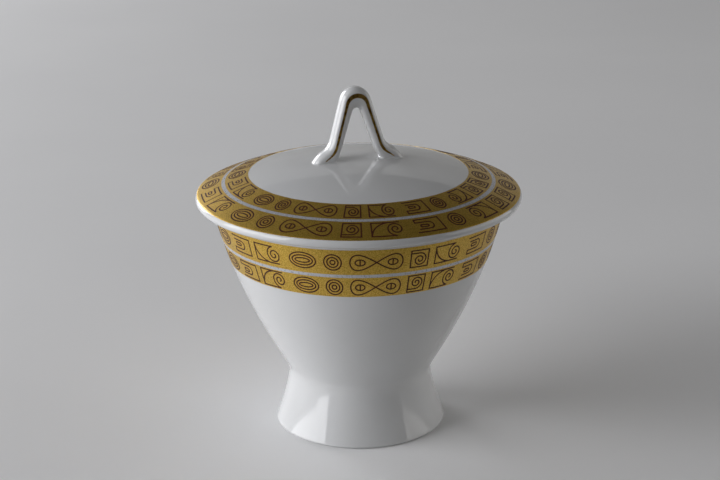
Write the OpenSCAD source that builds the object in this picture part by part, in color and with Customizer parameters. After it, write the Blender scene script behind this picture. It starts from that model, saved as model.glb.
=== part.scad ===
// Covered sugar bowl in glazed porcelain: a bowl stuck on a flared foot, and a
// domed lid with a looped handle stuck on top. The lid lifts straight off.
// Millimetres, +Z up. The origin is at the middle of the face that the foot
// stands on, and the loop of the handle lies in the XZ plane.

/* [Bowl] */
// Height of the mouth, where the lid rests
rim_z = 75.2; // [72:0.1:80]
// Outer radius of the mouth
mouth_r = 46.9; // [46:0.1:48]
// Radius of the outward bow of the wall's outline
wall_bow_r = 170; // [120:5:400]
// Thickness of the wall
wall_t = 2.8; // [2.2:0.1:3.4]
// Height of the inside floor
floor_z = 21.5; // [20.5:0.5:24]
// Radius of the round corner between the inside floor and the wall
floor_corner_r = 10; // [6:1:12]

/* [Waist] */
// Height where the outlines of foot and wall would cross
waist_z = 18.9; // [18:0.1:20]
// Radius where the outlines of foot and wall would cross
waist_r = 22.4; // [21:0.1:24]
// Softness of the crease between foot and wall
waist_blend = 2; // [0.5:0.1:3]
// Height of the face that joins the bowl to the foot
joint_z = 17.5; // [16.5:0.1:18.5]

/* [Foot] */
// Radius of the foot's outline at the table
foot_r = 27.8; // [26:0.1:30]
// Radius of the inward bow of the foot's outline
foot_bow_r = 118; // [60:2:400]
// Thickness of the foot's wall
foot_t = 3.2; // [2.6:0.1:4]
// Radius of the rounded lower edges
foot_edge_r = 0.8; // [0.4:0.1:1.2]

/* [Lid] */
// Radius of the dome, where it meets the rounded rim
dome_r = 51; // [50:0.1:53]
// Height of the dome from there to its crown
dome_h = 10.4; // [8:0.1:13]
// Fullness of the dome: 2 is a parabola, more is flatter on top
dome_power = 2.14; // [2:0.01:2.5]
// Radius of the rounded rim, which is half its thickness
rim_edge_r = 1.6; // [1:0.1:2]
// Thickness of the dome
lid_t = 3; // [2.5:0.1:3.6]
// Depth of the locating flange below the rim
flange_h = 5.5; // [3:0.5:8]
// Thickness of the locating flange
flange_t = 2.4; // [2:0.1:3]
// Gap between the flange and the inside of the mouth
flange_gap = 0.6; // [0.4:0.1:1]

/* [Handle] */
// Height of the top of the handle, and of the whole object
handle_top_z = 111.9; // [110:0.1:116]
// Outer radius at the apex of the loop
apex_outer_r = 4.9; // [4.2:0.1:5.2]
// Inner radius at the apex of the loop
apex_inner_r = 1.5; // [1.2:0.1:2.2]
// Thickness of the strap at the apex
apex_t = 6.6; // [5.5:0.1:7.5]
// Angle of the legs' outer edge from the vertical
leg_outer_angle = 16; // [14:0.5:18]
// Angle of the legs' inner edge from the vertical
leg_inner_angle = 18.5; // [16:0.5:20]
// Width of the strap across the loop
strap_depth = 6; // [5:0.1:8]
// Height above the dome's crown where the legs begin to flare outwards
flare_h = 6.5; // [5.5:0.1:8]
// Radius of the hollow outer flare
flare_r = 5.6; // [4:0.1:7]
// Radius of the rounded toe
toe_r = 9.4; // [8:0.1:11]
// Lean of the loop towards -X, as it came from the kiln; 0 is upright
handle_lean = 1.6; // [0:0.1:3]
// Distance of the loop from the axis, towards -X
handle_offset = 0.4; // [0:0.1:1]

/* [Hidden] */
$fn = 96;
porcelain = [0.93, 0.93, 0.92];

// Steps along the wall's and the dome's outlines
wall_steps = 22;
dome_steps = 18;
edge_steps = 6;

// Centres of the arcs in the outline of foot and wall, as [r, z]
foot_arc = arc_centre([foot_r, 0], [waist_r, waist_z], foot_bow_r, -1);
wall_arc = arc_centre([waist_r, waist_z], [mouth_r, rim_z], wall_bow_r, 1);

// The rounded rim rests on the mouth and touches the dome, which sets the height of the crown
dome_edge_slope = atan(dome_h * dome_power / dome_r);
rim_centre = [dome_r - rim_edge_r * sin(dome_edge_slope), rim_z + rim_edge_r];
crown_z = rim_centre[1] + rim_edge_r * cos(dome_edge_slope) + dome_h;

// Handle: the angles at which the outer and inner flares end, and where they start
flare_end_angle = 60;
toe_end_angle = 21;
inner_flare_r = 14;
inner_flare_mid_angle = 38;
inner_flare_end_angle = 62;
flare_z = crown_z + flare_h;
inner_flare_z = crown_z + 3.3;
apex_steps = 8;
flare_steps = 6;
ring_points = 20;
// The strap is deepest along a ridge, which lies this far in from its outer edge, plus a share of its thickness
ridge_inset = 1.55;
ridge_share = 1 / 8;
// Exponents of the strap's section on each side of the ridge: 2 is an ellipse, more is squarer
outer_power = 2.6;
inner_power = 4;

// Centre of the arc of radius r from p to q; side is 1 to bow away from the axis, -1 towards it
function arc_centre(p, q, r, side) =
    let (half = norm(q - p) / 2, out = [q[1] - p[1], p[0] - q[0]] / (2 * half))
    (p + q) / 2 - side * out * sqrt(r * r - half * half);

// Radius at height z of an arc with that centre
function arc_at(centre, r, side, z) = centre[0] + side * sqrt(r * r - pow(z - centre[1], 2));

// The larger of a and b, with a soft change from one to the other
function soft_max(a, b, k) = (a + b + sqrt(pow(a - b, 2) + k * k)) / 2;

// Outer radius of foot and bowl at height z
function outline_r(z) =
    soft_max(arc_at(foot_arc, foot_bow_r, -1, z), arc_at(wall_arc, wall_bow_r, 1, z), waist_blend);

// Inner radius of the bowl at height z, with its wall measured square to the surface
function inside_r(z) =
    let (step = 0.5, slope = (outline_r(z + step) - outline_r(z - step)) / (2 * step))
    outline_r(z) - wall_t * sqrt(1 + slope * slope);

// Points on an arc from one angle to another
function arc_points(centre, r, from, to, steps) =
    [for (i = [0:steps]) let (a = from + (to - from) * i / steps) centre + r * [cos(a), sin(a)]];

// Height of the dome's top surface at radius r
function dome_z(r) = crown_z - dome_h * pow(r / dome_r, dome_power);

function reverse(list) = [for (i = [len(list) - 1:-1:0]) list[i]];
function after_first(list) = [for (i = [1:len(list) - 1]) list[i]];

// Bowl: wall, inside floor and the flat face that meets the foot
module bowl() {
    lip_r = 0.9;
    corner_z = floor_z + floor_corner_r;
    corner_x = inside_r(corner_z);
    outer = [for (i = [0:wall_steps])
        let (z = joint_z + (rim_z - lip_r - joint_z) * i / wall_steps) [outline_r(z), z]];
    mouth_x = outline_r(rim_z - lip_r);
    inner_x = inside_r(rim_z - lip_r);
    lip_out = arc_points([mouth_x - lip_r, rim_z - lip_r], lip_r, 0, 90, edge_steps);
    lip_in = arc_points([inner_x + lip_r, rim_z - lip_r], lip_r, 90, 180, edge_steps);
    inner = [for (i = [0:wall_steps])
        let (z = rim_z - lip_r - (rim_z - lip_r - corner_z) * i / wall_steps) [inside_r(z), z]];
    // The floor's corner is a quarter ellipse, tucked in to keep the wall's thickness
    corner = [for (i = [0:edge_steps])
        let (a = 90 * i / edge_steps)
        [corner_x - 2 * floor_corner_r * (1 - cos(a)), corner_z - floor_corner_r * sin(a)]];
    color(porcelain)
        rotate_extrude()
            polygon(concat([[0, joint_z]], outer, lip_out, lip_in, inner, corner, [[0, floor_z]]));
}

// Foot: a flared ring, open below, with a narrow flat face to stand on
module foot() {
    steps = 12;
    outer_edge_x = outline_r(foot_edge_r) - foot_edge_r;
    inner_edge_x = outline_r(foot_edge_r) - foot_t + foot_edge_r;
    outer = [for (i = [0:steps])
        let (z = foot_edge_r + (joint_z - foot_edge_r) * i / steps) [outline_r(z), z]];
    inner = [for (p = reverse(outer)) [p[0] - foot_t, p[1]]];
    color(porcelain)
        rotate_extrude()
            polygon(concat(
                arc_points([outer_edge_x, foot_edge_r], foot_edge_r, -90, 0, edge_steps),
                outer,
                inner,
                arc_points([inner_edge_x, foot_edge_r], foot_edge_r, 180, 270, edge_steps)));
}

// Outline of the dome's top from the crown to its rounded rim
dome_outline = concat(
    [for (i = [0:dome_steps - 1]) let (r = dome_r * i / dome_steps) [r, dome_z(r)]],
    arc_points(rim_centre, rim_edge_r, 90 - dome_edge_slope, -90, edge_steps * 2));

// Lid: dome, rounded rim and the flange that locates it in the mouth
module lid() {
    flange_z = rim_z - flange_h;
    flange_edge_r = 0.8;
    hollow_x = inside_r(rim_z) - flange_gap - flange_t;
    flange_out = [for (z = [rim_z, flange_z + flange_edge_r]) [inside_r(z) - flange_gap, z]];
    flange_x = inside_r(flange_z) - flange_gap;
    flange_tip = [[flange_x - flange_edge_r / 2, flange_z], [flange_x - flange_t + flange_edge_r, flange_z],
                  [flange_x - flange_t, flange_z + flange_edge_r]];
    under = [for (i = [dome_steps:-1:0]) let (r = hollow_x * i / dome_steps) [r, dome_z(r) - lid_t]];
    color(porcelain)
        rotate_extrude()
            polygon(concat(dome_outline, flange_out, flange_tip, under));
}

// Outer and inner edge of one leg, from the apex to the toe, as [x, z] points in pairs
leg_start = [0, handle_top_z - apex_outer_r] + apex_outer_r * [cos(leg_outer_angle), sin(leg_outer_angle)];
flare_start = [leg_start[0] + (leg_start[1] - flare_z) * tan(leg_outer_angle), flare_z];
flare_centre = flare_start + flare_r * [cos(leg_outer_angle), sin(leg_outer_angle)];
toe_centre = flare_centre - (flare_r + toe_r) * [cos(flare_end_angle), sin(flare_end_angle)];
outer_edge = concat(
    arc_points([0, handle_top_z - apex_outer_r], apex_outer_r, 90, leg_outer_angle, apex_steps),
    arc_points(flare_centre, flare_r, 180 + leg_outer_angle, 180 + flare_end_angle, flare_steps),
    after_first(arc_points(toe_centre, toe_r, flare_end_angle, toe_end_angle, flare_steps)));

inner_apex = [0, handle_top_z - apex_t - apex_inner_r];
inner_leg_start = inner_apex + apex_inner_r * [cos(leg_inner_angle), sin(leg_inner_angle)];
inner_flare_start = [
    inner_leg_start[0] + (inner_leg_start[1] - inner_flare_z) * tan(leg_inner_angle), inner_flare_z];
inner_flare_centre = inner_flare_start + inner_flare_r * [cos(leg_inner_angle), sin(leg_inner_angle)];
inner_edge = concat(
    arc_points(inner_apex, apex_inner_r, 90, leg_inner_angle, apex_steps),
    arc_points(inner_flare_centre, inner_flare_r, 180 + leg_inner_angle, 180 + inner_flare_mid_angle, flare_steps),
    after_first(arc_points(inner_flare_centre, inner_flare_r,
                           180 + inner_flare_mid_angle, 180 + inner_flare_end_angle, flare_steps)));

// One rounded section of the strap between a pair of edge points; side is 1 or -1 for the two legs
function signed_power(v, p) = sign(v) * pow(abs(v), p);
function section(outer, inner, side) =
    let (t = norm(outer - inner),
         out = (outer - inner) / t,
         inset = ridge_inset + ridge_share * t)
    [for (i = [0:ring_points - 1])
        let (a = 360 * i / ring_points,
             power = cos(a) > 0 ? outer_power : inner_power,
             reach = cos(a) > 0 ? inset : t - inset,
             p = outer + (signed_power(cos(a), 2 / power) * reach - inset) * out)
        [side * p[0], signed_power(sin(a), 2 / power) * strap_depth / 2, p[1]]];

// Handle: the strap from toe to toe over the apex, cut off where it meets the dome
module handle() {
    last = len(outer_edge) - 1;
    rings = concat(
        [for (i = [last:-1:0]) section(outer_edge[i], inner_edge[i], 1)],
        [for (i = [1:last]) section(outer_edge[i], inner_edge[i], -1)]);
    ring_count = len(rings);
    sides = [for (j = [0:ring_count - 2], i = [0:ring_points - 1])
        let (a = j * ring_points + i,
             b = j * ring_points + (i + 1) % ring_points)
        [a, b, b + ring_points, a + ring_points]];
    ends = [[for (i = [ring_points - 1:-1:0]) i],
            [for (i = [0:ring_points - 1]) (ring_count - 1) * ring_points + i]];
    color(porcelain)
        difference() {
            translate([-handle_offset, 0, crown_z])
                rotate([0, -handle_lean, 0])
                    translate([0, 0, -crown_z])
                        polyhedron(points = [for (ring = rings, p = ring) p], faces = concat(sides, ends),
                                   convexity = 4);
            rotate_extrude()
                polygon(concat(dome_outline, [[0, rim_z]]));
        }
}

bowl();
foot();
lid();
handle();
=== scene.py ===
"""Looks of a covered porcelain sugar bowl: white glaze with gilt, silver and brown prints.

Outlines are in millimetres, as (radius, height) for turned pieces and (x, z) for the handle.
They become metres when a mesh is made.
"""
import math

import bmesh
import bpy
from mathutils import Matrix, Vector


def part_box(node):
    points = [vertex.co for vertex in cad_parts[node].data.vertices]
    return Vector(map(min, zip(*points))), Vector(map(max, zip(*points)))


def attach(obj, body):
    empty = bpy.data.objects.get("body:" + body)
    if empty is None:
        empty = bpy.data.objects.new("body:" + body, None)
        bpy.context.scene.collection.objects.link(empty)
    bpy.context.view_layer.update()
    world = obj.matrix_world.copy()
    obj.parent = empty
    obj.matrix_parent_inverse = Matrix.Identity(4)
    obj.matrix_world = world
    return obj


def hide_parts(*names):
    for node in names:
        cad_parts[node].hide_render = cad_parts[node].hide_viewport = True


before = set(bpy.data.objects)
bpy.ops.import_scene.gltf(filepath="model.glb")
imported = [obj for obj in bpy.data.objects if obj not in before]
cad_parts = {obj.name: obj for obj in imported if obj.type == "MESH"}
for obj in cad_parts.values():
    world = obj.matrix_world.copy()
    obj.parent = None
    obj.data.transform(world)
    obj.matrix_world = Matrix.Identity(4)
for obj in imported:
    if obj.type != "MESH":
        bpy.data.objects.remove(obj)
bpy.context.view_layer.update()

MM = 0.001

# ---------------------------------------------------------------- driving dimensions, mm
RIM_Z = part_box("bowl")[1].z / MM
JOINT_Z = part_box("bowl")[0].z / MM

MOUTH_R = 46.9
WALL_BOW_R = 170
WALL_T = 2.8
LIP_R = 0.9
FLOOR_Z = 21.5
FLOOR_CORNER_R = 10

WAIST_Z = 18.9
WAIST_R = 22.4
WAIST_BLEND = 2

FOOT_R = 27.8
FOOT_BOW_R = 118
FOOT_T = 3.2
FOOT_EDGE_R = 0.8

DOME_R = 51
DOME_H = 10.4
DOME_POWER = 2.14
RIM_EDGE_R = 1.6
LID_T = 3
FLANGE_H = 5.5
FLANGE_T = 2.4
FLANGE_GAP = 0.6
FLANGE_EDGE_R = 0.8

# How far the prints stand out from the glaze, and how far they reach into it
PRINT_LIFT = 0.03
PRINT_SINK = -0.05

# ---------------------------------------------------------------- outlines
SLOPE_STEP = 0.25


def arc_centre(p, q, radius, side):
    """Centre of the arc from p to q; side is 1 to bow away from the axis, -1 towards it."""
    chord = math.hypot(q[0] - p[0], q[1] - p[1])
    reach = side * math.sqrt(radius ** 2 - (chord / 2) ** 2) / chord
    return (p[0] + q[0]) / 2 - reach * (q[1] - p[1]), (p[1] + q[1]) / 2 - reach * (p[0] - q[0])


FOOT_ARC = arc_centre((FOOT_R, 0), (WAIST_R, WAIST_Z), FOOT_BOW_R, -1)
WALL_ARC = arc_centre((WAIST_R, WAIST_Z), (MOUTH_R, RIM_Z), WALL_BOW_R, 1)


def outline_r(z):
    """Outer radius of foot and bowl at height z, with a soft crease at the waist."""
    foot = FOOT_ARC[0] - math.sqrt(FOOT_BOW_R ** 2 - (z - FOOT_ARC[1]) ** 2)
    wall = WALL_ARC[0] + math.sqrt(WALL_BOW_R ** 2 - (z - WALL_ARC[1]) ** 2)
    return (foot + wall + math.hypot(foot - wall, WAIST_BLEND)) / 2


def inside_r(z):
    """Inner radius of the bowl at height z, with the wall's thickness square to the surface."""
    slope = (outline_r(z + SLOPE_STEP) - outline_r(z - SLOPE_STEP)) / (2 * SLOPE_STEP)
    return outline_r(z) - WALL_T * math.hypot(1, slope)


DOME_EDGE_SLOPE = math.atan(DOME_H * DOME_POWER / DOME_R)
RIM_CENTRE = (DOME_R - RIM_EDGE_R * math.sin(DOME_EDGE_SLOPE), RIM_Z + RIM_EDGE_R)
CROWN_Z = RIM_CENTRE[1] + RIM_EDGE_R * math.cos(DOME_EDGE_SLOPE) + DOME_H


def dome_z(r):
    """Height of the dome's top surface at radius r."""
    return CROWN_Z - DOME_H * (abs(r) / DOME_R) ** DOME_POWER


def spread(start, end, steps):
    """Evenly spaced numbers from start to end, both included."""
    return [start + (end - start) * i / steps for i in range(steps + 1)]


def arc(centre, radius, start, end, steps):
    """Points on an arc between two angles in degrees."""
    angles = [math.radians(a) for a in spread(start, end, steps)]
    return [(centre[0] + radius * math.cos(a), centre[1] + radius * math.sin(a)) for a in angles]


def lifted(before, here, after, lift):
    """The point here, moved by lift to the right of the way from before to after."""
    along_r, along_z = after[0] - before[0], after[1] - before[1]
    length = math.hypot(along_r, along_z)
    return here[0] + lift * along_z / length, here[1] - lift * along_r / length


def wall_at(z, lift=0.0):
    """The bowl's outside at height z, moved out by lift."""
    points = [(outline_r(h), h) for h in (z - SLOPE_STEP, z, z + SLOPE_STEP)]
    return lifted(*points, lift)


def dome_at(r, lift=0.0):
    """The lid's top at radius r, moved out by lift."""
    points = [(q, dome_z(q)) for q in (r + SLOPE_STEP, r, r - SLOPE_STEP)]
    return lifted(*points, lift)


# ---------------------------------------------------------------- materials
NOISE_LOW = 0.3
NOISE_HIGH = 0.7


def node_material(name):
    """A new material, a function that adds nodes to it, and a function that sets its shader's inputs."""
    material = bpy.data.materials.new(name)
    material.use_nodes = True
    tree = material.node_tree
    shader = tree.nodes["Principled BSDF"]

    def add(kind, inputs=None, **settings):
        """A new node, with its settings made and its inputs linked or set."""
        made = tree.nodes.new(kind)
        for key, value in settings.items():
            setattr(made, key, value)
        for key, value in (inputs or {}).items():
            if isinstance(value, bpy.types.NodeSocket):
                tree.links.new(value, made.inputs[key])
            else:
                made.inputs[key].default_value = value
        return made

    def feed(key, value):
        """Link or set one input of the shader."""
        if isinstance(value, bpy.types.NodeSocket):
            tree.links.new(value, shader.inputs[key])
        else:
            shader.inputs[key].default_value = value

    return material, add, feed


def noise(add, scale, detail=2.0, roughness=0.5):
    """Noise in the object's own space, with scale in waves per metre."""
    place = add("ShaderNodeTexCoord").outputs["Object"]
    inputs = {"Vector": place, "Scale": scale, "Detail": detail, "Roughness": roughness}
    return add("ShaderNodeTexNoise", inputs).outputs["Fac"]


def blend_colours(add, factor, stops):
    """A colour ramp; stops are (position, colour) pairs."""
    ramp = add("ShaderNodeValToRGB", {"Fac": factor})
    elements = ramp.color_ramp.elements
    while len(elements) < len(stops):
        elements.new(0.5)
    for element, (position, colour) in zip(elements, stops):
        element.position = position
        element.color = (*colour, 1)
    return ramp.outputs["Color"]


def remap(add, factor, low, high):
    """The factor from the range where noise mostly lies, spread over low to high."""
    inputs = {"Value": factor, "From Min": NOISE_LOW, "From Max": NOISE_HIGH, "To Min": low, "To Max": high}
    return add("ShaderNodeMapRange", inputs).outputs["Result"]


def bump(add, height, strength, distance, under=None):
    """A bump from a height, on top of another bump if there is one under it."""
    inputs = {"Height": height, "Strength": strength, "Distance": distance}
    if under is not None:
        inputs["Normal"] = under
    return add("ShaderNodeBump", inputs).outputs["Normal"]


def porcelain_material(name):
    """Hard white glaze: glossy, with a faint waviness and a faint change of tone."""
    material, add, feed = node_material(name)
    tone = noise(add, 35, 3)
    feed("Base Color", blend_colours(add, tone, [(0.3, (0.612, 0.617, 0.617)), (0.7, (0.637, 0.642, 0.647))]))
    feed("Roughness", remap(add, noise(add, 160, 3), 0.05, 0.10))
    wave = bump(add, noise(add, 55, 1), 0.12, 0.0004)
    feed("Normal", bump(add, noise(add, 900, 1), 0.04, 0.00005, wave))
    feed("IOR", 1.46)
    return material


def gold_material(name):
    """Matt gilding fired on the glaze: ochre metal with a fine speckled grain under a thin gloss."""
    material, add, feed = node_material(name)
    grain = noise(add, 3200, 2, 0.6)
    stops = [(0.32, (0.43, 0.26, 0.034)), (0.5, (0.67, 0.435, 0.068)), (0.7, (0.82, 0.56, 0.12))]
    feed("Base Color", blend_colours(add, grain, stops))
    feed("Metallic", 0.85)
    feed("Roughness", remap(add, noise(add, 1500, 2), 0.40, 0.52))
    rolling = bump(add, noise(add, 120, 2), 0.08, 0.0002)
    feed("Normal", bump(add, grain, 0.3, 0.00003, rolling))
    feed("Coat Weight", 0.3)
    feed("Coat Roughness", 0.12)
    return material


def bright_gold_material(name):
    """The brushed line on the handle: a thin, dark and shiny gilding, a little uneven in strength."""
    material, add, feed = node_material(name)
    tone = noise(add, 600, 3)
    feed("Base Color", blend_colours(add, tone, [(0.35, (0.30, 0.165, 0.035)), (0.65, (0.66, 0.42, 0.10))]))
    feed("Metallic", 0.95)
    feed("Roughness", remap(add, noise(add, 1200, 2), 0.26, 0.36))
    feed("Normal", bump(add, noise(add, 1800, 2), 0.15, 0.00003))
    return material


def silver_material(name):
    """The narrow platinum lines: smoother than the gilding, pale cool grey."""
    material, add, feed = node_material(name)
    tone = noise(add, 700, 2)
    feed("Base Color", blend_colours(add, tone, [(0.3, (0.50, 0.51, 0.54)), (0.7, (0.56, 0.57, 0.61))]))
    feed("Metallic", 0.35)
    feed("Roughness", remap(add, noise(add, 1800, 2), 0.25, 0.35))
    feed("Normal", bump(add, noise(add, 2400, 2), 0.2, 0.00002))
    return material


def brown_material(name):
    """Dark red-brown enamel lines, a little uneven in strength."""
    material, add, feed = node_material(name)
    tone = noise(add, 1400, 2)
    feed("Base Color", blend_colours(add, tone, [(0.3, (0.055, 0.016, 0.007)), (0.7, (0.085, 0.026, 0.011))]))
    feed("Roughness", remap(add, noise(add, 2500, 2), 0.40, 0.55))
    feed("Normal", bump(add, noise(add, 3000, 2), 0.15, 0.00002))
    feed("Specular IOR Level", 0.2)
    return material


def bare_material(name):
    """Unglazed porcelain on the ring that the foot stands on: matt and slightly grey."""
    material, add, feed = node_material(name)
    tone = noise(add, 900, 4, 0.6)
    feed("Base Color", blend_colours(add, tone, [(0.3, (0.60, 0.58, 0.54)), (0.7, (0.74, 0.72, 0.68))]))
    feed("Roughness", remap(add, noise(add, 2500, 2), 0.55, 0.75))
    feed("Normal", bump(add, noise(add, 4000, 3), 0.4, 0.00005))
    return material


def sheet_material(name, dark, pale):
    """Plain matt sheet with a faint change of tone."""
    material, add, feed = node_material(name)
    feed("Base Color", blend_colours(add, noise(add, 6, 3), [(0.3, dark), (0.7, pale)]))
    feed("Roughness", remap(add, noise(add, 300, 3), 0.55, 0.70))
    feed("Normal", bump(add, noise(add, 1500, 3), 0.05, 0.0001))
    return material


PORCELAIN = porcelain_material("porcelain_glaze")
GOLD = gold_material("gold_print")
BRIGHT_GOLD = bright_gold_material("gold_line")
SILVER = silver_material("silver_line")
BROWN = brown_material("brown_print")
BARE = bare_material("bare_foot_ring")

# ---------------------------------------------------------------- meshes
TURN_STEPS = 288
ON_AXIS = 1e-6
SHARP_ANGLE = math.radians(40)


def make_piece(name, vertices, faces, material, body):
    """A smooth shaded closed mesh from points in millimetres, riding on a CAD body."""
    mesh = bpy.data.meshes.new(name)
    mesh.from_pydata([Vector(v) * MM for v in vertices], [], faces)
    shape = bmesh.new()
    shape.from_mesh(mesh)
    bmesh.ops.recalc_face_normals(shape, faces=shape.faces)
    shape.to_mesh(mesh)
    shape.free()
    mesh.materials.append(material)
    mesh.shade_smooth()
    mesh.set_sharp_from_angle(angle=SHARP_ANGLE)
    piece = bpy.data.objects.new(name, mesh)
    bpy.context.scene.collection.objects.link(piece)
    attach(piece, body)
    return piece


def turned(name, outline, material, body):
    """A piece turned from a closed outline; points at radius 0 become single poles."""
    vertices, rings = [], []
    for r, z in outline:
        first = len(vertices)
        if r < ON_AXIS:
            vertices.append((0, 0, z))
            rings.append([first] * TURN_STEPS)
            continue
        for k in range(TURN_STEPS):
            angle = 2 * math.pi * k / TURN_STEPS
            vertices.append((r * math.cos(angle), r * math.sin(angle), z))
        rings.append([first + k for k in range(TURN_STEPS)])
    faces = []
    for i, ring in enumerate(rings):
        above = rings[(i + 1) % len(rings)]
        if ring[0] == ring[1] and above[0] == above[1]:
            continue
        for k in range(TURN_STEPS):
            m = (k + 1) % TURN_STEPS
            corners = [ring[k], ring[m], above[m], above[k]]
            faces.append(list(dict.fromkeys(corners)))
    return make_piece(name, vertices, faces, material, body)


def printed_band(name, place, start, end, material, body, steps=16):
    """A thin turned ring on the outside, between two places of a profile."""
    top = [place(t, PRINT_LIFT) for t in spread(start, end, steps)]
    under = [place(t, PRINT_SINK) for t in spread(end, start, steps)]
    return turned(name, top + under, material, body)


# ---------------------------------------------------------------- porcelain
EDGE_STEPS = 12
WALL_STEPS = 150
DOME_STEPS = 110
BARE_RING_H = 0.03


def bowl_outline():
    """The bowl: outside, rounded lip, inside wall, and the round corner to the inside floor."""
    lip_z = RIM_Z - LIP_R
    corner_z = FLOOR_Z + FLOOR_CORNER_R
    corner_x = inside_r(corner_z)
    quarter = [math.radians(a) for a in spread(0, 90, 2 * EDGE_STEPS)]
    return (
        [(0, JOINT_Z)]
        + [(outline_r(z), z) for z in spread(JOINT_Z, lip_z, WALL_STEPS)]
        + arc((outline_r(lip_z) - LIP_R, lip_z), LIP_R, 0, 90, EDGE_STEPS)[1:]
        + arc((inside_r(lip_z) + LIP_R, lip_z), LIP_R, 90, 180, EDGE_STEPS)
        + [(inside_r(z), z) for z in spread(lip_z, corner_z, WALL_STEPS // 2)[1:]]
        + [(corner_x - 2 * FLOOR_CORNER_R * (1 - math.cos(a)), corner_z - FLOOR_CORNER_R * math.sin(a))
           for a in quarter[1:]]
        + [(0, FLOOR_Z)]
    )


def foot_outline():
    """The foot: flared wall, open in the middle, with rounded lower edges."""
    outer = [(outline_r(z), z) for z in spread(FOOT_EDGE_R, JOINT_Z, WALL_STEPS // 2)]
    inner = [(r - FOOT_T, z) for r, z in reversed(outer)]
    edge_r = FOOT_EDGE_R - BARE_RING_H
    edge_x = outline_r(FOOT_EDGE_R)
    return (
        arc((edge_x - edge_r, FOOT_EDGE_R), edge_r, -90, 0, EDGE_STEPS)[:-1]
        + outer
        + inner
        + arc((edge_x - FOOT_T + edge_r, FOOT_EDGE_R), edge_r, 180, 270, EDGE_STEPS)[1:]
    )


def lid_outline():
    """The lid: dome, rounded rim, the locating flange and the hollow underside."""
    flange_z = RIM_Z - FLANGE_H
    flange_x = inside_r(flange_z) - FLANGE_GAP
    edge_z = flange_z + FLANGE_EDGE_R
    hollow_x = inside_r(RIM_Z) - FLANGE_GAP - FLANGE_T
    tilt = math.degrees(DOME_EDGE_SLOPE)
    return (
        [(r, dome_z(r)) for r in spread(0, DOME_R, DOME_STEPS)[:-1]]
        + arc(RIM_CENTRE, RIM_EDGE_R, 90 - tilt, -90, 3 * EDGE_STEPS)
        + [(inside_r(z) - FLANGE_GAP, z) for z in spread(RIM_Z, edge_z, EDGE_STEPS)]
        + arc((flange_x - FLANGE_EDGE_R, edge_z), FLANGE_EDGE_R, 0, -90, EDGE_STEPS)[1:]
        + arc((hollow_x + FLANGE_EDGE_R, edge_z), FLANGE_EDGE_R, 270, 180, EDGE_STEPS)
        + [(r, dome_z(r) - LID_T) for r in spread(hollow_x, 0, DOME_STEPS // 2)]
    )


bowl = turned("bowl_shell", bowl_outline(), PORCELAIN, "base")
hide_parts("bowl")
foot = turned("foot_shell", foot_outline(), PORCELAIN, "base")
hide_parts("foot")
lid = turned("lid_shell", lid_outline(), PORCELAIN, "cover")
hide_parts("lid")

standing_outer = outline_r(FOOT_EDGE_R) - FOOT_EDGE_R
standing_inner = outline_r(FOOT_EDGE_R) - FOOT_T + FOOT_EDGE_R
bare_top = 2 * BARE_RING_H
bare_outline = [(standing_outer, 0), (standing_outer, bare_top),
                (standing_inner, bare_top), (standing_inner, 0)]
turned("foot_bare_ring", bare_outline, BARE, "base")

# ---------------------------------------------------------------- handle
LOOP_TOP_Z = 111.9
APEX_OUTER_R = 4.9
APEX_INNER_R = 1.5
APEX_T = 6.6
LEG_OUTER_ANGLE = 16
LEG_INNER_ANGLE = 18.5
STRAP_DEPTH = 6
FLARE_R = 5.6
FLARE_Z = CROWN_Z + 6.5
FLARE_END_ANGLE = 60
TOE_R = 9.4
TOE_END_ANGLE = 21
INNER_FLARE_R = 14
INNER_FLARE_Z = CROWN_Z + 3.3
INNER_FLARE_MID_ANGLE = 38
INNER_FLARE_END_ANGLE = 62
HANDLE_LEAN = math.radians(1.6)
HANDLE_OFFSET = 0.4
# The strap is deepest along a ridge, this far in from its outer edge plus a share of its thickness
RIDGE_INSET = 1.55
RIDGE_SHARE = 1 / 8
OUTER_POWER = 2.6
INNER_POWER = 4
SECTION_POINTS = 64
APEX_STEPS = 20
LEG_EDGE_STEPS = 12
FLARE_STEPS = 16
LEG_STEPS = 70
# The glaze fillet at the dome: its length, and how far its end reaches below the dome's surface
FILLET = 0.6
FILLET_SINK = 0.02
FILLET_STEPS = 8
INDEX_STEP = 0.05
# The gold line is widest over the apex and runs out to a point above each toe
GILT_W = 0.9
GILT_APEX_W = 1.6
GILT_APEX_REACH = 9
GILT_END = 0.7
GILT_END_SHARE = 0.2
GILT_TAPER = 3.5


def along(start, angle, distance):
    """The point at that distance from start, at an angle in degrees."""
    return (start[0] + distance * math.cos(math.radians(angle)),
            start[1] + distance * math.sin(math.radians(angle)))


def edge_line(apex, apex_r, lean, flare_z, flare_r):
    """Apex arc and straight leg of one edge, and the centre of the flare that follows."""
    top = arc(apex, apex_r, 90, lean, APEX_STEPS)
    leg_start = top[-1]
    flare_start = (leg_start[0] + (leg_start[1] - flare_z) * math.tan(math.radians(lean)), flare_z)
    leg = [(leg_start[0] + (flare_start[0] - leg_start[0]) * t, leg_start[1] + (flare_z - leg_start[1]) * t)
           for t in spread(0, 1, LEG_EDGE_STEPS)]
    return top + leg[1:], along(flare_start, lean, flare_r)


outer_edge, flare_centre = edge_line(
    (0, LOOP_TOP_Z - APEX_OUTER_R), APEX_OUTER_R, LEG_OUTER_ANGLE, FLARE_Z, FLARE_R)
toe_centre = along(flare_centre, 180 + FLARE_END_ANGLE, FLARE_R + TOE_R)
outer_edge += arc(flare_centre, FLARE_R, 180 + LEG_OUTER_ANGLE, 180 + FLARE_END_ANGLE, FLARE_STEPS)[1:]
outer_edge += arc(toe_centre, TOE_R, FLARE_END_ANGLE, TOE_END_ANGLE, FLARE_STEPS)[1:]

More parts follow.
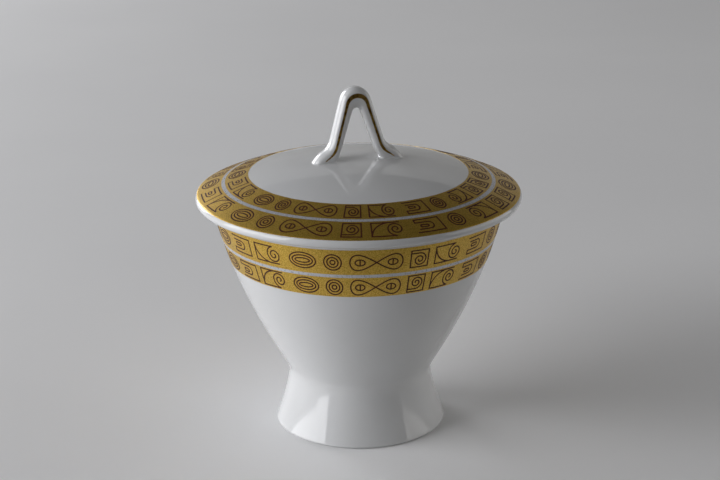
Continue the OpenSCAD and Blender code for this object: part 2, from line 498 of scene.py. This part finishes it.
inner_edge, inner_flare_centre = edge_line(
    (0, LOOP_TOP_Z - APEX_T - APEX_INNER_R), APEX_INNER_R, LEG_INNER_ANGLE, INNER_FLARE_Z, INNER_FLARE_R)
for start, end in ((LEG_INNER_ANGLE, INNER_FLARE_MID_ANGLE), (INNER_FLARE_MID_ANGLE, INNER_FLARE_END_ANGLE)):
    inner_edge += arc(inner_flare_centre, INNER_FLARE_R, 180 + start, 180 + end, FLARE_STEPS)[1:]


def signed_power(value, power):
    """The size of a value raised to a power, with the value's own sign."""
    return math.copysign(abs(value) ** power, value)


def strap_point(outer, inner, reach, side, y):
    """A point of the strap: reach runs from -1 at the inner edge over 0 at the ridge to 1 at the outer."""
    thickness = math.hypot(outer[0] - inner[0], outer[1] - inner[1])
    inset = RIDGE_INSET + RIDGE_SHARE * thickness
    share = (inset - reach * (inset if reach > 0 else thickness - inset)) / thickness
    x = side * (outer[0] + share * (inner[0] - outer[0]))
    z = outer[1] + share * (inner[1] - outer[1]) - CROWN_Z
    lean_x = x * math.cos(HANDLE_LEAN) - z * math.sin(HANDLE_LEAN)
    lean_z = x * math.sin(HANDLE_LEAN) + z * math.cos(HANDLE_LEAN)
    return Vector((lean_x - HANDLE_OFFSET, y, lean_z + CROWN_Z))


def section_line(angle, side):
    """One line of the strap's surface from the apex to the toe."""
    power = OUTER_POWER if math.cos(angle) > 0 else INNER_POWER
    reach = signed_power(math.cos(angle), 2 / power)
    y = signed_power(math.sin(angle), 2 / power) * STRAP_DEPTH / 2
    return [strap_point(o, i, reach, side, y) for o, i in zip(outer_edge, inner_edge)]


def at_index(line, index):
    """The point of a line at a fractional index."""
    low = min(int(index), len(line) - 2)
    return line[low].lerp(line[low + 1], index - low)


def clearance(point):
    """Height of a point above the dome."""
    return point.z - dome_z(math.hypot(point.x, point.y))


def dome_index(line):
    """The fractional index where a line enters the dome."""
    for k in range(len(line) - 1):
        above, below = clearance(line[k]), clearance(line[k + 1])
        if above > 0 >= below:
            return k + above / (above - below)
    raise ValueError("the handle doesn't reach the dome")


def run_to_dome(line, centre_line):
    """The line down to the dome, with a small hollow glaze fillet running out onto it."""
    end = dome_index(line)
    contact = at_index(line, end)
    start = end
    while (at_index(line, start) - contact).length < FILLET:
        start -= INDEX_STEP
    outward = contact - at_index(centre_line, end)
    outward.z = 0
    outward.normalize()
    foot_point = contact + outward * FILLET
    foot_point.z = dome_z(math.hypot(foot_point.x, foot_point.y)) - FILLET_SINK
    leave = at_index(line, start)
    run = [at_index(line, k) for k in spread(0, start, LEG_STEPS)]
    for t in spread(0, 1, FILLET_STEPS)[1:]:
        run.append(leave * (1 - t) ** 2 + contact * 2 * t * (1 - t) + foot_point * t ** 2)
    return run


def handle_rings():
    """Closed rings of points from one toe over the apex to the other."""
    legs = []
    for side in (1, -1):
        centre_line = [strap_point(o, i, 0, side, 0.0) for o, i in zip(outer_edge, inner_edge)]
        lines = [run_to_dome(section_line(2 * math.pi * k / SECTION_POINTS, side), centre_line)
                 for k in range(SECTION_POINTS)]
        legs.append([list(ring) for ring in zip(*lines)])
    return legs[0][::-1] + legs[1][1:]


def tube_faces(rings, points):
    """Quads between neighbouring rings of a tube."""
    faces = []
    for j in range(rings - 1):
        for k in range(points):
            m = (k + 1) % points
            faces.append((j * points + k, j * points + m, (j + 1) * points + m, (j + 1) * points + k))
    return faces


def make_handle():
    """The porcelain loop, closed at both toes inside the dome."""
    rings = handle_rings()
    vertices = [p for ring in rings for p in ring]
    faces = tube_faces(len(rings), SECTION_POINTS)
    for ring, first in ((rings[0], 0), (rings[-1], (len(rings) - 1) * SECTION_POINTS)):
        hub = sum(ring, Vector()) / SECTION_POINTS
        hub.z -= 1
        vertices.append(hub)
        for k in range(SECTION_POINTS):
            faces.append((first + k, first + (k + 1) % SECTION_POINTS, len(vertices) - 1))
    piece = make_piece("handle_loop", vertices, faces, PORCELAIN, "cover")
    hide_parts("handle")


def gilt_width(middle):
    """Width of the gold line where its middle is at that point."""
    below_apex = LOOP_TOP_Z - middle.z
    width = GILT_W + (GILT_APEX_W - GILT_W) * max(0, 1 - below_apex / GILT_APEX_REACH)
    return width * min(1, GILT_END_SHARE + (clearance(middle) - GILT_END) / GILT_TAPER)


def gilt_line(name, face):
    """The gold line along the ridge on one face of the strap; face is -1 for the front and 1 for the back."""
    rings = []
    pairs = list(zip(outer_edge, inner_edge))
    for side, row in ((1, pairs[::-1]), (-1, pairs[1:])):
        for outer, inner in row:
            middle = strap_point(outer, inner, 0, side, face * STRAP_DEPTH / 2)
            if clearance(middle) < GILT_END:
                continue
            half_width = gilt_width(middle) / 2
            thickness = math.hypot(outer[0] - inner[0], outer[1] - inner[1])
            inset = RIDGE_INSET + RIDGE_SHARE * thickness
            ring = []
            for lift, order in ((PRINT_LIFT, (-1, -0.5, 0, 0.5, 1)), (PRINT_SINK, (1, -1))):
                for step in order:
                    reach = step * half_width / (inset if step > 0 else thickness - inset)
                    power = OUTER_POWER if step > 0 else INNER_POWER
                    swell = (1 - abs(reach) ** power) ** (1 / power)
                    y = face * (swell * STRAP_DEPTH / 2 + lift)
                    ring.append(strap_point(outer, inner, reach, side, y))
            rings.append(ring)
    points = len(rings[0])
    last = (len(rings) - 1) * points
    faces = tube_faces(len(rings), points)
    faces += [tuple(range(points)), tuple(range(last, last + points))]
    make_piece(name, [p for ring in rings for p in ring], faces, BRIGHT_GOLD, "cover")


make_handle()
gilt_line("handle_gold_front", -1)
gilt_line("handle_gold_back", 1)

# ---------------------------------------------------------------- printed rings
LID_INNER_R = 35.0
LID_SILVER = (42.45, 43.6)
LID_OUTER_R = DOME_R + 0.6
BOWL_TOP_Z = RIM_Z - 1.95
BOWL_SILVER = (63.7, 64.75)
BOWL_BOTTOM_Z = 56.8


def lid_at(distance, lift=0.0):
    """The lid's top at a radius, or past the dome's edge at that much more along the rounded rim."""
    if distance <= DOME_R:
        return dome_at(distance, lift)
    angle = math.pi / 2 - DOME_EDGE_SLOPE - (distance - DOME_R) / RIM_EDGE_R
    reach = RIM_EDGE_R + lift
    return RIM_CENTRE[0] + reach * math.cos(angle), RIM_CENTRE[1] + reach * math.sin(angle)


printed_band("lid_gold_inner", lid_at, LID_SILVER[0], LID_INNER_R, GOLD, "cover")
printed_band("lid_silver_line", lid_at, LID_SILVER[1], LID_SILVER[0], SILVER, "cover")
printed_band("lid_gold_outer", lid_at, LID_OUTER_R, LID_SILVER[1], GOLD, "cover", 40)
printed_band("bowl_gold_upper", wall_at, BOWL_SILVER[1], BOWL_TOP_Z, GOLD, "base")
printed_band("bowl_silver_line", wall_at, BOWL_SILVER[0], BOWL_SILVER[1], SILVER, "base")
printed_band("bowl_gold_lower", wall_at, BOWL_BOTTOM_Z, BOWL_SILVER[0], GOLD, "base")

# ---------------------------------------------------------------- printed signs
SIGN_H = 5.7
LINE_W = 0.44
LINE_LIFT = 0.055
LINE_SINK = 0.0
LINE_STEP = 0.4
MITRE_LIMIT = 0.4
HALF = SIGN_H / 2
ROUND = 0.93 * HALF
RING_SHARES = (1, 0.64, 0.28)


def ellipse(centre, half_w, half_h, steps=36):
    """Points round an ellipse."""
    return [(centre[0] + half_w * math.cos(2 * math.pi * k / steps),
             centre[1] + half_h * math.sin(2 * math.pi * k / steps)) for k in range(steps)]


def spiral(centre, start_r, end_r, start, turns, stretch=1.0, steps=48):
    """An inward spiral; start is its first angle in degrees, and turns is negative for clockwise."""
    points = []
    for t in spread(0, 1, steps):
        angle = math.radians(start) + 2 * math.pi * turns * t
        r = start_r + (end_r - start_r) * t
        points.append((centre[0] + stretch * r * math.cos(angle), centre[1] + r * math.sin(angle)))
    return points


def boxed_spiral(slant=0.0):
    """A leaning square whose top edge runs inwards as a curl."""
    box = [(-HALF, -HALF), (HALF, -HALF), (HALF, HALF), (-HALF, HALF)]
    curl = [(-HALF, 0.68 * HALF)] + spiral((0.05, -0.12 * HALF), 0.78 * HALF, 0.12 * HALF, 85, -1.8)
    lines = ((box, True), (curl, False))
    return SIGN_H, [([(x + slant * y, y) for x, y in line], closed) for line, closed in lines]


def left_leaning_box():
    """The boxed spiral, leaning to the left."""
    return boxed_spiral(-0.16)


def key():
    """A frame that folds back into two rounded fingers."""
    w = 1.55 * HALF
    finger = 0.3 * HALF
    path = [(-w, 0.95 * HALF), (w, 0.95 * HALF), (w, -0.95 * HALF), (-0.9 * w, -0.95 * HALF),
            (-0.9 * w, -0.5 * HALF), (0, -0.5 * HALF)]
    path += arc((0.05 * w, 0), 0.5 * HALF, -90, 90, 12)
    path += [(-0.8 * w, 0.5 * HALF)]
    inner = [(-0.5 * w, -0.5 * finger)] + arc((-0.1 * w, 0.05 * HALF), 0.5 * finger, -90, 90, 8)
    inner += arc((-0.5 * w, 0.05 * HALF), 0.5 * finger, 90, 270, 8)
    return 2 * w, [(path, False), (inner, True)]


def lemniscate():
    """A long figure of eight with a barred eye in each half."""
    w = 2.8 * HALF
    loop = [(w * math.cos(a), ROUND * math.sin(2 * a)) for a in spread(0, 2 * math.pi, 90)[:-1]]
    lines = [(loop, True)]
    for side in (-1, 1):
        eye_x = side * 0.62 * w
        lines.append((ellipse((eye_x, 0), 0.52 * HALF, 0.36 * HALF, 28), True))
        lines.append(([(eye_x, -0.36 * HALF), (eye_x, 0.36 * HALF)], False))
    return 2 * w, lines


def targets():
    """Three circles inside one another."""
    return 2 * ROUND, [(ellipse((0, 0), k * ROUND, k * ROUND), True) for k in RING_SHARES]


def ovals():
    """Three ovals inside one another, the inner ones flatter."""
    return 3.2 * ROUND, [(ellipse((0, 0), (k + 0.6) * ROUND, k * ROUND, 44), True) for k in RING_SHARES]


def wave(turn=1):
    """A curl that runs out along the foot of a corner frame, with a bow across the corner."""
    w = 1.8 * HALF
    curl_x = 0.42 * w
    curl = spiral((curl_x, 0), 0.1 * HALF, HALF, 90, -2, 0.95)
    corner = curl + [(-w, HALF), (-w, -HALF), (0.75 * w, -HALF)]
    bow = arc((0.12 * w, 1.04 * HALF), 2.02 * HALF, 182, 262, 14)
    return 2 * w, [([(turn * x, y) for x, y in line], False) for line in (corner, bow)]


def turned_wave():
    """The wave, mirrored left to right."""
    return wave(-1)


SIGNS = [ovals, targets, lemniscate, boxed_spiral, wave, key, targets, turned_wave, boxed_spiral,
         left_leaning_box, ovals, key, wave]


def finely(points, closed):
    """The same line with no step longer than LINE_STEP, so that it follows the round surface."""
    fine = []
    ends = points[1:] + points[:1] if closed else points[1:]
    for a, b in zip(points, ends):
        parts = max(1, math.ceil(math.hypot(b[0] - a[0], b[1] - a[1]) / LINE_STEP))
        fine += [(a[0] + (b[0] - a[0]) * k / parts, a[1] + (b[1] - a[1]) * k / parts) for k in range(parts)]
    return fine if closed else fine + points[-1:]


def mitred_sides(points, closed, width):
    """Left and right edges of a flat ribbon along a line of points, with mitred corners."""
    count = len(points)
    left, right = [], []
    for k, here in enumerate(points):
        before = points[k - 1] if closed or k > 0 else None
        after = points[(k + 1) % count] if closed or k < count - 1 else None
        normals = []
        for a, b in ((before, here), (here, after)):
            if a is not None and b is not None:
                length = math.hypot(b[0] - a[0], b[1] - a[1])
                normals.append(((a[1] - b[1]) / length, (b[0] - a[0]) / length))
        nx = sum(n[0] for n in normals) / len(normals)
        ny = sum(n[1] for n in normals) / len(normals)
        reach = width / 2 / max(nx * nx + ny * ny, MITRE_LIMIT)
        left.append((here[0] + nx * reach, here[1] + ny * reach))
        right.append((here[0] - nx * reach, here[1] - ny * reach))
    return left, right


def printed_signs(name, place, middle, radius, reference, start, flip, body):
    """Rows of signs round a ring: middle is the ring's middle on its profile, start an angle in degrees."""
    signs = [sign() for sign in SIGNS] * 2
    gap = (2 * math.pi * reference - sum(width for width, _ in signs)) / len(signs)
    squeeze = radius / reference
    vertices, faces = [], []
    travelled = math.radians(start) * reference

    def on_ring(point, offset, lift):
        """A flat point of a sign, laid on the ring at that offset along it."""
        r, z = place(middle + flip * point[1], lift)
        angle = offset / reference + point[0] / radius
        return r * math.cos(angle), r * math.sin(angle), z

    for width, lines in signs:
        offset = travelled + (width + gap) / 2
        travelled += width + gap
        for points, closed in lines:
            flat = finely([(x * squeeze, y) for x, y in points], closed)
            left, right = mitred_sides(flat, closed, LINE_W)
            first = len(vertices)
            for a, b in zip(left, right):
                vertices += [on_ring(a, offset, LINE_LIFT), on_ring(b, offset, LINE_LIFT),
                             on_ring(b, offset, LINE_SINK), on_ring(a, offset, LINE_SINK)]
            count = len(flat)
            for j in range(count if closed else count - 1):
                m = (j + 1) % count
                for k in range(4):
                    n = (k + 1) % 4
                    faces.append((first + 4 * j + k, first + 4 * j + n, first + 4 * m + n, first + 4 * m + k))
            if not closed:
                end = first + 4 * (count - 1)
                faces += [tuple(range(first, first + 4)), tuple(range(end, end + 4))]
    return make_piece(name, vertices, faces, BROWN, body)


def lid_place(t, lift):
    """A place on the lid, where t grows towards the crown."""
    return lid_at(-t, lift)


LID_START = 200
BOWL_START = 226
lid_inner_mid = (LID_INNER_R + LID_SILVER[0]) / 2
lid_outer_mid = (DOME_R + LID_SILVER[1]) / 2
bowl_upper_mid = (BOWL_SILVER[1] + BOWL_TOP_Z) / 2
bowl_lower_mid = (BOWL_BOTTOM_Z + BOWL_SILVER[0]) / 2
for label, middle, flip in (("inner", lid_inner_mid, 1), ("outer", lid_outer_mid, -1)):
    printed_signs("lid_signs_" + label, lid_place, -middle, middle, lid_outer_mid, LID_START, flip, "cover")
for label, middle, flip in (("upper", bowl_upper_mid, 1), ("lower", bowl_lower_mid, -1)):
    printed_signs("bowl_signs_" + label, wall_at, middle, outline_r(middle), outline_r(bowl_upper_mid),
                  BOWL_START, flip, "base")

# ---------------------------------------------------------------- camera
VIEW_AZIMUTH = math.radians(-15)
CAMERA_REACH = 0.5433
CAMERA_HEIGHT = 0.2422
CAMERA_PITCH = math.radians(18.44)
CAMERA_YAW = math.radians(-0.035)
CAMERA_ROLL = math.radians(-0.5)
LENS = 88.85
SENSOR_W = 36
FORWARD = Vector((-math.sin(VIEW_AZIMUTH), math.cos(VIEW_AZIMUTH), 0))
RIGHT = Vector((FORWARD.y, -FORWARD.x, 0))
UP = Vector((0, 0, 1))


def make_camera():
    """The camera in front of the bowl and above it, looking slightly down."""
    data = bpy.data.cameras.new("camera")
    data.lens = LENS
    data.sensor_width = SENSOR_W
    data.clip_start = 0.01
    data.clip_end = 20
    camera = bpy.data.objects.new("camera", data)
    bpy.context.scene.collection.objects.link(camera)
    turn = Matrix.Rotation(VIEW_AZIMUTH + CAMERA_YAW, 4, "Z")
    tilt = Matrix.Rotation(math.pi / 2 - CAMERA_PITCH, 4, "X")
    roll = Matrix.Rotation(CAMERA_ROLL, 4, "Z")
    place = Matrix.Translation(-FORWARD * CAMERA_REACH + UP * CAMERA_HEIGHT)
    camera.matrix_world = place @ turn @ tilt @ roll
    bpy.context.scene.camera = camera


make_camera()

# ---------------------------------------------------------------- stage and light
TABLE_FRONT = 0.085
TABLE_REACH = 3.0
BAY_TURN = math.radians(66)
GROUND_Z = -0.75
GROUND_R = 5.0
GROUND_SIDES = 48


def make_sheet(name, corners, material):
    """A flat stage sheet through corners (right, ahead, up) as the camera sees them."""
    mesh = bpy.data.meshes.new(name)
    places = [RIGHT * x + FORWARD * y + UP * z for x, y, z in corners]
    mesh.from_pydata(places, [], [tuple(range(len(places)))])
    mesh.materials.append(material)
    sheet = bpy.data.objects.new(name, mesh)
    bpy.context.scene.collection.objects.link(sheet)


def make_floor():
    """The table top, with a bay in its front edge before the bowl, and the ground far below it."""
    bay = TABLE_FRONT * math.tan(BAY_TURN)
    front = TABLE_REACH / math.tan(BAY_TURN)
    table = [(-TABLE_REACH, -front, 0), (-bay, -TABLE_FRONT, 0), (bay, -TABLE_FRONT, 0),
             (TABLE_REACH, -front, 0), (TABLE_REACH, TABLE_REACH, 0), (-TABLE_REACH, TABLE_REACH, 0)]
    make_sheet("floor", table, sheet_material("floor_sheet", (0.825, 0.825, 0.829), (0.855, 0.855, 0.857)))
    ground = [(x, y, GROUND_Z) for x, y in arc((0, 0), GROUND_R, 0, 360, GROUND_SIDES)[:-1]]
    make_sheet("ground", ground, sheet_material("ground_sheet", (0.38, 0.38, 0.38), (0.42, 0.42, 0.42)))


AIM = UP * 0.05
COOL = (0.97, 0.975, 1.0)
WARM = (1.0, 0.985, 0.965)


def make_light(name, turn, rise, reach, width, height, power, colour):
    """A soft rectangle at that reach; turn, from the left towards the camera, and rise are in degrees."""
    data = bpy.data.lights.new(name, "AREA")
    data.shape = "RECTANGLE"
    data.size = width
    data.size_y = height
    data.energy = power
    data.color = colour
    light = bpy.data.objects.new(name, data)
    turn, rise = math.radians(turn), math.radians(rise)
    away = -RIGHT * math.cos(turn) - FORWARD * math.sin(turn)
    offset = away * math.cos(rise) + UP * math.sin(rise)
    light.location = AIM + offset * reach
    light.rotation_mode = "QUATERNION"
    light.rotation_quaternion = (-offset).to_track_quat("-Z", "Y")
    bpy.context.scene.collection.objects.link(light)


def make_world():
    """Dark surroundings: a little paler at the horizon than overhead."""
    world = bpy.data.worlds.new("surroundings")
    world.use_nodes = True
    nodes, links = world.node_tree.nodes, world.node_tree.links
    place = nodes.new("ShaderNodeTexCoord")
    split = nodes.new("ShaderNodeSeparateXYZ")
    ramp = nodes.new("ShaderNodeValToRGB")
    stops = ramp.color_ramp.elements
    stops[0].position, stops[0].color = 0.0, (0.02, 0.0195, 0.019, 1)
    stops[1].position, stops[1].color = 0.9, (0.01, 0.01, 0.01, 1)
    links.new(place.outputs["Generated"], split.inputs["Vector"])
    links.new(split.outputs["Z"], ramp.inputs["Fac"])
    links.new(ramp.outputs["Color"], nodes["Background"].inputs["Color"])
    bpy.context.scene.world = world


make_floor()
make_world()
make_light("window", 14, 10.5, 1.6, 1.65, 1.55, 42, COOL)
make_light("back_window", -50, 14, 1.6, 0.6, 0.8, 8, COOL)
make_light("back_wall", -92, 14, 2.2, 2.5, 1.3, 3, WARM)
make_light("right_wall", 186, 10, 2.2, 2.7, 2.0, 26, WARM)

bpy.context.scene.view_settings.view_transform = "Standard"
